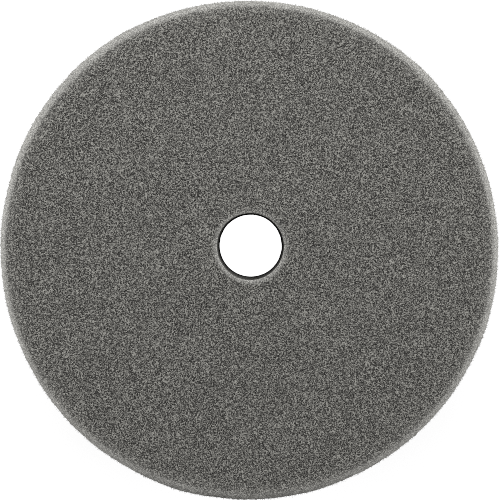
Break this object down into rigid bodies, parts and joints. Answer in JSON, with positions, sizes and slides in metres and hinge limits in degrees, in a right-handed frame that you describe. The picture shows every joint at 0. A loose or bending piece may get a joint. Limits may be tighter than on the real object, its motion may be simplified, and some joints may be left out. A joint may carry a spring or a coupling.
{
  "type": "polishing pad",
  "caption": "Round grey foam polishing pad for a dual-action polisher, with a rounded rim, a tapered side, a centre hole and a hook-and-loop back.",
  "frame": {"origin": "centre of the loop face, on the pad's axis, where the pad lies or meets its backing plate", "axes": "+Z along the pad's axis, out of the foam's working face; X and Y are free, because the pad is round"},
  "size_m": [0.165, 0.165, 0.025],
  "materials": {
    "foam": "matte",
    "adhesive_film": "satin",
    "backing_cloth": "matte",
    "loop_pile": "matte"
  },
  "bodies": {
    "root": {"foam_body": "foam", "bond_film": "adhesive_film", "backing_cloth": "backing_cloth", "loop_pile": "loop_pile"}
  },
  "joints": []
}
